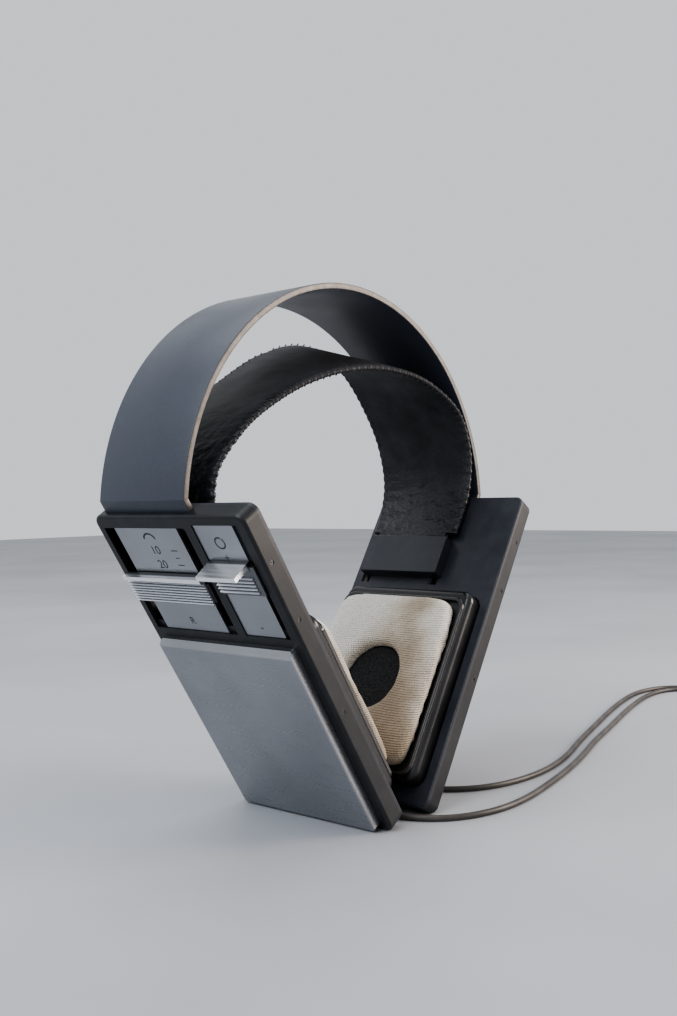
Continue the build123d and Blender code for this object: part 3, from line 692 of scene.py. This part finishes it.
def strap_rings():
    """Rounded two-layer outline at every row, pinched by each stitch and softly creased."""
    width = strap_y1 - strap_y0
    outline = rounded_rectangle(width, strap_t, 1.1 * MM, steps=5)
    flat = np.linspace(-width / 2 + 1.6 * MM, width / 2 - 1.6 * MM, 18)
    top = np.stack([flat[::-1], np.full_like(flat, strap_t / 2)], axis=1)
    bottom = np.stack([flat, np.full_like(flat, -strap_t / 2)], axis=1)
    outline = np.concatenate([outline[:5], top, outline[5:10], outline[10:15], bottom, outline[15:]])
    share = outline[:, 0] / width + 0.5
    points, inward = strap_frames(np.clip(share, 0, 1))
    rows = np.arange(strap_rows)[:, None]
    from_edge = np.minimum(share, 1 - share) * width
    pinch_reach, seam_in, seam_reach, crease_depth = 1.7 * MM, 3.4 * MM, 0.5 * MM, 0.30 * MM
    near_edge = np.exp(-(from_edge / pinch_reach) ** 2)[None, :]
    bite = 0.5 + 0.5 * np.cos(2 * np.pi * rows / stitch_pitch_rows)
    thin = 1 - near_edge * (0.22 + 0.25 * bite)
    seam = 0.18 * MM * np.exp(-((from_edge - seam_in) / seam_reach) ** 2)[None, :]
    side = np.sign(outline[:, 1])[None, :]
    depth = strap_t / 2 - outline[None, :, 1] * thin + side * seam
    short_waves = np.sin(rows * 0.19 + 3.1 * np.sin(share * 5.0)[None, :])
    creases = short_waves * np.sin(rows * 0.071 + 9 * share[None, :])
    near_mouth = np.exp(-np.minimum(rows, strap_rows - 1 - rows) / 90.0)
    depth = depth + crease_depth * creases * near_mouth * (1 - near_edge)
    points = points + inward * depth[..., None]
    bite_in = np.where(share > 0.5, -0.20, 0.50) * MM
    points[..., 1] += bite_in[None, :] * near_edge * bite
    return points


# %% Stitches
def stitch_points(rows_at, edge):
    """Thread loops round an edge: half circles from the outer face to the inner, as small rings."""
    sign = -1 if edge == "front" else 1
    points, inward = strap_frames([0.0 if edge == "front" else 1.0])
    points, inward = points[rows_at, 0], inward[rows_at, 0]
    along = unit(np.gradient(strap_frames([0.5])[0][:, 0], axis=0))[rows_at]
    turn = np.linspace(-0.5 * np.pi, 0.5 * np.pi, 9)
    reach = np.array([-1.9, -1.7, -1.2, -0.55, -0.38, -0.55, -1.2, -1.7, -1.9]) * MM
    if edge == "back":
        reach = reach - 0.25 * MM
    depth = strap_t / 2 + np.sin(turn) * (strap_t / 2 + 0.12 * MM)
    depth[[0, -1]] = strap_t * np.array([0.12, 0.88])
    lead = np.linspace(-0.55, 0.55, 9) * MM
    path = points[:, None, :] + inward[:, None, :] * depth[None, :, None]
    path = path + along[:, None, :] * lead[None, :, None]
    path[..., 1] += sign * reach[None, :]
    step = unit(np.gradient(path, axis=1))
    side = np.broadcast_to(along[:, None, :], path.shape)
    lift = unit(np.cross(step, side))
    side = np.cross(lift, step)
    ring = np.linspace(0, 2 * np.pi, 6, endpoint=False)
    thread = 0.22 * MM
    offsets = np.cos(ring)[:, None] * side[:, :, None, :] + np.sin(ring)[:, None] * lift[:, :, None, :]
    return path[:, :, None, :] + thread * offsets


# %% Strap pieces
strap_points = strap_rings()
tail_rows = 130


def strap_piece(name, first, last):
    """Rows first..last of the strap with their stitches."""
    rings = strap_points[first:last + 1]
    rows, columns = rings.shape[:2]
    points, faces = [rings.reshape(-1, 3)], bar_faces(rows, columns)
    leather_faces = len(faces)
    at = np.arange(first + stitch_pitch_rows // 2, last - 3)
    at = at[at % stitch_pitch_rows == 0]
    for edge in ("front", "back"):
        loops = stitch_points(at, edge)
        one = np.array(grid_faces(loops.shape[1], loops.shape[2]))
        base = sum(len(p) for p in points)
        shift = base + np.arange(len(loops))[:, None, None] * loops.shape[1] * loops.shape[2]
        faces = faces + (one[None] + shift).reshape(-1, 4).tolist()
        points.append(loops.reshape(-1, 3))
    piece = new_piece(name, np.concatenate(points), faces, sharp_angle=60)
    piece.data.materials.append(strap_leather)
    piece.data.materials.append(stitch_thread)
    is_thread = (np.arange(len(faces)) >= leather_faces).astype(np.int32)
    piece.data.polygons.foreach_set("material_index", is_thread)
    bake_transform(piece)
    return piece


middle_row = int(np.argmin(np.abs(strap_points[:, :, 0].mean(axis=1))))
last_row = strap_rows - 1
strap_left = strap_piece("strap_left", middle_row, last_row - tail_rows)
strap_piece("strap_right", tail_rows, middle_row)
strap_piece("strap_end_left", last_row - tail_rows, last_row)
strap_piece("strap_end_right", 0, tail_rows)
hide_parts("head_strap")
print("strap rows", strap_rows, "split at", middle_row)

# %% [markdown]
# ## Strap ends in the holders
# Below its mouth the strap is a plain flat tail inside the holder's pocket. It moves with the head
# slider, so it is a short bar of its own that rides with the holder.
# %% Strap ends
def strap_tail(side):
    """A flat bar from the mouth down into the pocket, in the earpiece's own axes."""
    low, high = ear_box(f"strap_holder_{side}")
    outline = rounded_rectangle(high[0] - low[0] - 4.8 * MM, 2.9 * MM, 0.9 * MM)
    heights = np.linspace(low[1] + 4.5 * MM, high[1] + 4.5 * MM, 8)
    middle = (low[0] + high[0]) / 2
    depth = high[2] - 2.55 * MM
    points = on_ear(side, middle + outline[None, :, 0], heights[:, None], depth + outline[None, :, 1])
    piece = new_piece(f"strap_tail_{side}", points, bar_faces(len(heights), len(outline)))
    piece.data.materials.append(strap_leather)
    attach(piece, f"{side}_head_control")


for side in ("left", "right"):
    strap_tail(side)

# %% [markdown]
# ## Ear pads
# A pad is thin foam under a fine ribbed knit, with a round hole in front of the driver. The mesh
# starts as a rounded slab round the hole, a little smaller than the finished pad. Cloth pressure then
# swells it, so its face crowns and its edge rolls over, and the movement is capped so that it stays
# in its rim. The cloth modifier is applied, so only the finished shape stays.
# %% Pad start shape
def pad_start(side):
    """Rings from the hole's circle out to the pad's rounded outline and back behind it."""
    low, high = ear_box(f"ear_pad_{side}")
    middle = (low[:2] + high[:2]) / 2
    foam_low, foam_high = ear_box(f"hole_foam_{side}")
    hole = (foam_low[:2] + foam_high[:2]) / 2
    hole_r = (foam_high[0] - foam_low[0]) / 2 + 0.5 * MM
    turn = np.linspace(0, 2 * np.pi, 160, endpoint=False)
    half = (high[:2] - low[:2]) / 2 - 0.5 * MM
    power = 9.0
    reach = (np.abs(circle(turn) / half) ** power).sum(axis=1) ** (-1 / power)
    outer = middle + reach[:, None] * circle(turn)
    inner_turn = np.arctan2(outer[:, 1] - hole[1], outer[:, 0] - hole[0])
    inner = hole + hole_r * circle(inner_turn)
    thick = high[2] - low[2]
    shares = np.array([0, 0.0, 0.02, 0.06, 0.14, 0.3, 0.5, 0.7, 0.86, 0.94, 0.985, 1.0, 1.0])
    heights = np.array([0, 0.62, 0.84, 0.95, 1, 1, 1, 1, 1, 0.95, 0.80, 0.55, 0]) * (thick - 0.6 * MM)
    flat = inner[None] * (1 - shares[:, None, None]) + outer[None] * shares[:, None, None]
    points = on_ear(side, flat[..., 0], flat[..., 1], high[2] - heights[:, None])
    faces = grid_faces(len(shares), len(turn), wrap_rows=True)
    return new_piece(f"pad_{side}", points, faces, sharp_angle=180)


# %% Pad swelling
def swell(piece, back, out, cap):
    """Voxel remesh and cloth pressure, with each point's movement capped and kept off the back."""
    remesh = piece.modifiers.new("even", "REMESH")
    remesh.mode = "VOXEL"
    remesh.voxel_size = 1.7 * MM
    apply_modifiers(piece)
    start = mesh_points(piece.data)
    cloth = piece.modifiers.new("cloth", "CLOTH")
    cloth.settings.use_pressure = True
    cloth.settings.uniform_pressure_force = 4
    cloth.settings.effector_weights.gravity = 0
    cloth.settings.tension_stiffness = 12
    cloth.point_cache.frame_start = 1
    cloth.point_cache.frame_end = 20
    for step in range(1, 21):
        bpy.context.scene.frame_set(step)
    apply_modifiers(piece)
    bpy.context.scene.frame_set(1)
    move = mesh_points(piece.data) - start
    size = np.linalg.norm(move, axis=1, keepdims=True)
    swollen = start + move * np.minimum(1, cap / np.maximum(size, 1e-9))
    over = np.minimum(0, back - swollen @ out)
    swollen = swollen + over[:, None] * out
    own_side, off_middle = np.sign(out[0]), 0.3 * MM
    swollen[:, 0] = own_side * np.maximum(swollen[:, 0] * own_side, off_middle)
    piece.data.vertices.foreach_set("co", swollen.ravel())


# %% Applying modifiers
def apply_modifiers(piece):
    """Replaces the piece's mesh by its evaluated one and removes the modifiers."""
    depsgraph = bpy.context.evaluated_depsgraph_get()
    mesh = bpy.data.meshes.new_from_object(piece.evaluated_get(depsgraph))
    piece.modifiers.clear()
    piece.data = mesh


# %% Knit finish
def waves(material, value, pitch):
    """A sine of the value, with one wave to each pitch."""
    return combine(material, combine(material, value, 2 * np.pi / pitch, "MULTIPLY"), 0.0, "SINE")


def knit(side):
    """Cream ribbed knit with loops along its ribs, stained browner towards the lower front edge, with
    painted shade in the knit's grooves and a painted highlight that keeps the front rim lighter.
    """
    material = start_material(f"pad_fabric_{side}", (0.60, 0.52, 0.42), 0.92, Sheen_Weight=0.25,
                              Sheen_Roughness=0.5)
    _, across, height = place_values(material)
    wobble = combine(material, noise(material, 70, detail=3), 0.0016, "MULTIPLY")
    ribs = waves(material, combine(material, across, wobble, "ADD"), 0.9 * MM)
    loops = waves(material, height, 0.85 * MM)
    low, high = (np.array(corner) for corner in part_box(f"ear_pad_{side}"))
    ribs = combine(material, ribs, spread(material, across, low[1], high[1], 0.25, 1.0), "MULTIPLY")
    loops = combine(material, loops, spread(material, across, low[1], high[1], 1.0, 0.35), "MULTIPLY")
    weave = combine(material, ribs, loops, "ADD")
    width = high[1] - low[1]
    to_front = spread(material, across, low[1] + 0.22 * width, high[1], 0.85, -0.30)
    # Painted highlight: the colour is less brown along the front rim, where the bulging edge catches light.
    rim_highlight = spread(material, across, low[1], low[1] + 0.24 * width, 0.30, 0.85)
    to_front = combine(material, to_front, rim_highlight, "MINIMUM")
    to_floor = spread(material, height, low[2], high[2], 0.50, -0.26)
    patches = spread(material, noise(material, 55, detail=6), 0.3, 0.7, -0.22, 0.22)
    stain_and_painted_light = combine(material, combine(material, to_front, to_floor, "ADD"), patches, "ADD")
    # Painted shade: the colour is a little darker in the knit's grooves between ribs and loops.
    stain_and_painted_light = combine(material, stain_and_painted_light, combine(material, weave, 0.09, "MULTIPLY"), "SUBTRACT")
    color_between(material, stain_and_painted_light, [(0.0, (0.80, 0.76, 0.69)), (0.32, (0.68, 0.61, 0.51)),
                                    (0.62, (0.44, 0.355, 0.26)), (1.0, (0.30, 0.225, 0.15))])
    bump_from(material, weave, 0.00018)
    bump_from(material, noise(material, 260, detail=4), 0.0004)
    return material


# %% Make the pads
def ear_pad(side):
    """The swollen pad, one subdivision smoother, riding on its capsule."""
    piece = pad_start(side)
    origin, _, _, out = ear_axes(side)
    back = origin @ out + ear_box(f"ear_pad_{side}")[1][2]
    swell(piece, back, out, cap=2.0 * MM)
    smooth = piece.modifiers.new("smooth", "SUBSURF")
    smooth.levels = smooth.render_levels = 1
    apply_modifiers(piece)
    piece.data.shade_smooth()
    piece.data.materials.clear()
    piece.data.materials.append(knit(side))
    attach(piece, f"{side}_capsule")
    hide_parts(f"ear_pad_{side}")
    print(piece.name, "points", len(piece.data.vertices))


for side in ("left", "right"):
    ear_pad(side)

# %% [markdown]
# ## Finishes on the CAD pieces
# The hard CAD nodes already have the right shape, so each only takes its finish. The first table
# is kept by node name without its side, and one loop covers both earpieces.
# %% Assign finishes
ear_finishes = {
    "housing": black_plastic, "inner_panel": holder_plastic, "side_screws": black_steel,
    "driver_cover": cover_aluminium, "head_scale": plate_aluminium, "ear_scale": plate_aluminium,
    "band_clamp": steel, "terminal_board": board, "cable_gland": cord_rubber,
    "strap_holder": holder_plastic, "holder_cover": holder_plastic,
    "ear_wedge": steel, "capsule_shell": capsule_plastic,
    "pad_rim": gloss_rim, "hole_foam": foam, "driver_frame": plug_plastic, "driver_magnet": magnet,
    "driver_diaphragm": film, "driver_grille": holder_plastic,
}
shared_finishes = {
    "cord_splitter": cord_rubber, "plug_relief": cord_rubber, "plug_body": plug_plastic,
    "plug_shell": steel, "plug_pins": brass,
}


groove_depths = {"head_slider": 1.1 * MM, "ear_slider": 0.9 * MM}
finishes = dict(shared_finishes)
for side in ("left", "right"):
    finishes.update({f"{stem}_{side}": material for stem, material in ear_finishes.items()})
    for stem, groove in groove_depths.items():
        finishes[f"{stem}_{side}"] = groove_shaded_metal(f"{stem}_{side}", groove)
for node, material in finishes.items():
    slots = frame["nodes"][node].data.materials
    if not slots:
        slots.append(material)
    for i in range(len(slots)):
        slots[i] = material
print("finished", len(finishes), "CAD nodes")

# %% [markdown]
# ## Printed marks
# The scale plates carry generic marks only: the numbers of the head scale with ticks beside them,
# a letter for the side, plus and minus, and small signs for the head and the ear. They are printed
# ink, so each is a flat mesh that stands a few hundredths of a millimetre off its plate.
# %% Ink
ink = start_material("ink", (0.02, 0.02, 0.022), 0.6)
color_between(ink, noise(ink, 1200, detail=3), [(0.3, (0.012, 0.012, 0.013)), (0.7, (0.04, 0.04, 0.042))])
ink_height = 0.03 * MM


def ear_matrix(side, across, height, depth):
    """Turns flat drawing axes into reading direction, up and out of the earpiece."""
    _, _, rise, out = ear_axes(side)
    return placement([np.cross(rise, out), rise, out], on_ear(side, across, height, depth))


def print_text(name, words, size, side, across, height, depth):
    """Text made a flat mesh and placed on the earpiece."""
    curve = bpy.data.curves.new(name, "FONT")
    curve.body = words
    curve.size = size
    curve.align_x = "CENTER"
    curve.align_y = "CENTER"
    text = scene_object(name, curve)
    mesh = bpy.data.meshes.new_from_object(text)
    bpy.data.objects.remove(text)
    flat_mark(name, mesh, side, across, height, depth)


def flat_mark(name, mesh, side, across, height, depth):
    """A flat drawing put in place, riding on its earpiece."""
    mesh.transform(ear_matrix(side, across, height, depth))
    mark = scene_object(name, mesh)
    mesh.materials.clear()
    mesh.materials.append(ink)
    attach(mark, f"{side}_earpiece")


# %% Drawn signs
def stroke_mesh(name, centre_line, width):
    """A flat ribbon: the line's points moved half the width to each side of it."""
    line = np.asarray(centre_line, float)
    along = unit(np.gradient(line, axis=0))
    side = np.stack([-along[:, 1], along[:, 0]], axis=1) * width / 2
    edges = np.stack([line - side, line + side], axis=1)
    points = np.concatenate([edges, np.zeros(edges.shape[:2] + (1,))], axis=2)
    mesh = bpy.data.meshes.new(name)
    faces = grid_faces(len(line), 2, wrap_columns=False)
    mesh.from_pydata(points.reshape(-1, 3).tolist(), [], faces.tolist())
    if mesh.polygons[0].normal.z < 0:
        mesh.flip_normals()
    return mesh


def arc_line(radius, start, end, count=24):
    """Points on a circle about zero between two angles in degrees."""
    return radius * circle(np.radians(np.linspace(start, end, count)))


# %% Put the marks on
for side in ("right", "left"):
    toward = 1 if side == "left" else -1
    low, high = ear_box(f"head_scale_{side}")
    middle, top = (low[0] + high[0]) / 2, high[1]
    face = high[2] + ink_height
    print_text(f"mark_10_{side}", "10", 4.8 * MM, side, middle, top - 9.4 * MM, face)
    print_text(f"mark_20_{side}", "20", 4.8 * MM, side, middle, top - 15.4 * MM, face)
    print_text(f"mark_side_{side}", side[0].upper(), 4.2 * MM, side, middle, low[1] + 4.2 * MM, face)
    flat_mark(f"mark_head_{side}", stroke_mesh("head_sign", arc_line(3.0 * MM, 15, 165), 0.7 * MM),
              side, middle, top - 5.4 * MM, face)
    for i in range(3):
        tick = np.array([[-1.6, 0], [0, 0], [1.6, 0]]) * MM * (1.0 if i % 2 == 0 else 0.6)
        flat_mark(f"mark_tick_{i}_{side}", stroke_mesh("tick", tick, 0.35 * MM), side,
                  middle + 9.5 * MM * toward, top - (9.4 + 3.0 * i) * MM, face)
    low, high = ear_box(f"ear_scale_{side}")
    middle, top = (low[0] + high[0]) / 2, high[1]
    face = high[2] + ink_height
    flat_mark(f"mark_ear_{side}", stroke_mesh("ear_sign", arc_line(2.1 * MM, 60, 410, 36), 0.6 * MM),
              side, middle, top - 7.0 * MM, face)
    print_text(f"mark_plus_{side}", "+", 4.6 * MM, side, middle, top - 13.0 * MM, face)
    print_text(f"mark_minus_{side}", "-", 5.0 * MM, side, middle, low[1] + 4.0 * MM, face)

# %% [markdown]
# ## Floor and light
# A pale floor and an even pale surround, a large cool light over the left shoulder of the camera, a
# warm card low on the right for the brown-grey sheen along the front edges, and a weak top light.
# %% Floor
floor_material = start_material("floor", (0.34, 0.345, 0.36), 0.5)
color_between(floor_material, noise(floor_material, 4, detail=6),
              [(0.35, (0.31, 0.315, 0.33)), (0.65, (0.37, 0.375, 0.39))])
floor_half = 3.0
corners = [(x * floor_half, y * floor_half, 0) for x, y in ((-1, -1), (1, -1), (1, 1), (-1, 1))]
floor_mesh = bpy.data.meshes.new("floor")
floor_mesh.from_pydata(corners, [], [(0, 1, 2, 3)])
floor_mesh.materials.append(floor_material)
floor = scene_object("floor", floor_mesh)

# %% Light
world = bpy.data.worlds.new("world")
bpy.context.scene.world = world
world.use_nodes = True
world.node_tree.nodes["Background"].inputs["Color"].default_value = (0.86, 0.89, 0.93, 1)
world.node_tree.nodes["Background"].inputs["Strength"].default_value = 0.80


def area_light(name, position, target, size, power, color):
    """A square soft light that looks at its target."""
    data = bpy.data.lights.new(name, "AREA")
    data.size = size
    data.energy = power
    data.color = color
    light = scene_object(name, data)
    light.location = position
    light.rotation_euler = (Vector(target) - Vector(position)).to_track_quat("-Z", "Y").to_euler()


centre = (0.0, 0.0, 0.1)
area_light("window", (-1.0, 0.1, 1.1), centre, 1.0, 18, (0.86, 0.92, 1.0))
area_light("warm_card", (0.80, -0.8, 0.42), centre, 0.55, 14, (1.0, 0.87, 0.77))
area_light("top", (0.1, 0.3, 1.4), centre, 1.1, 7, (0.97, 0.98, 1.0))
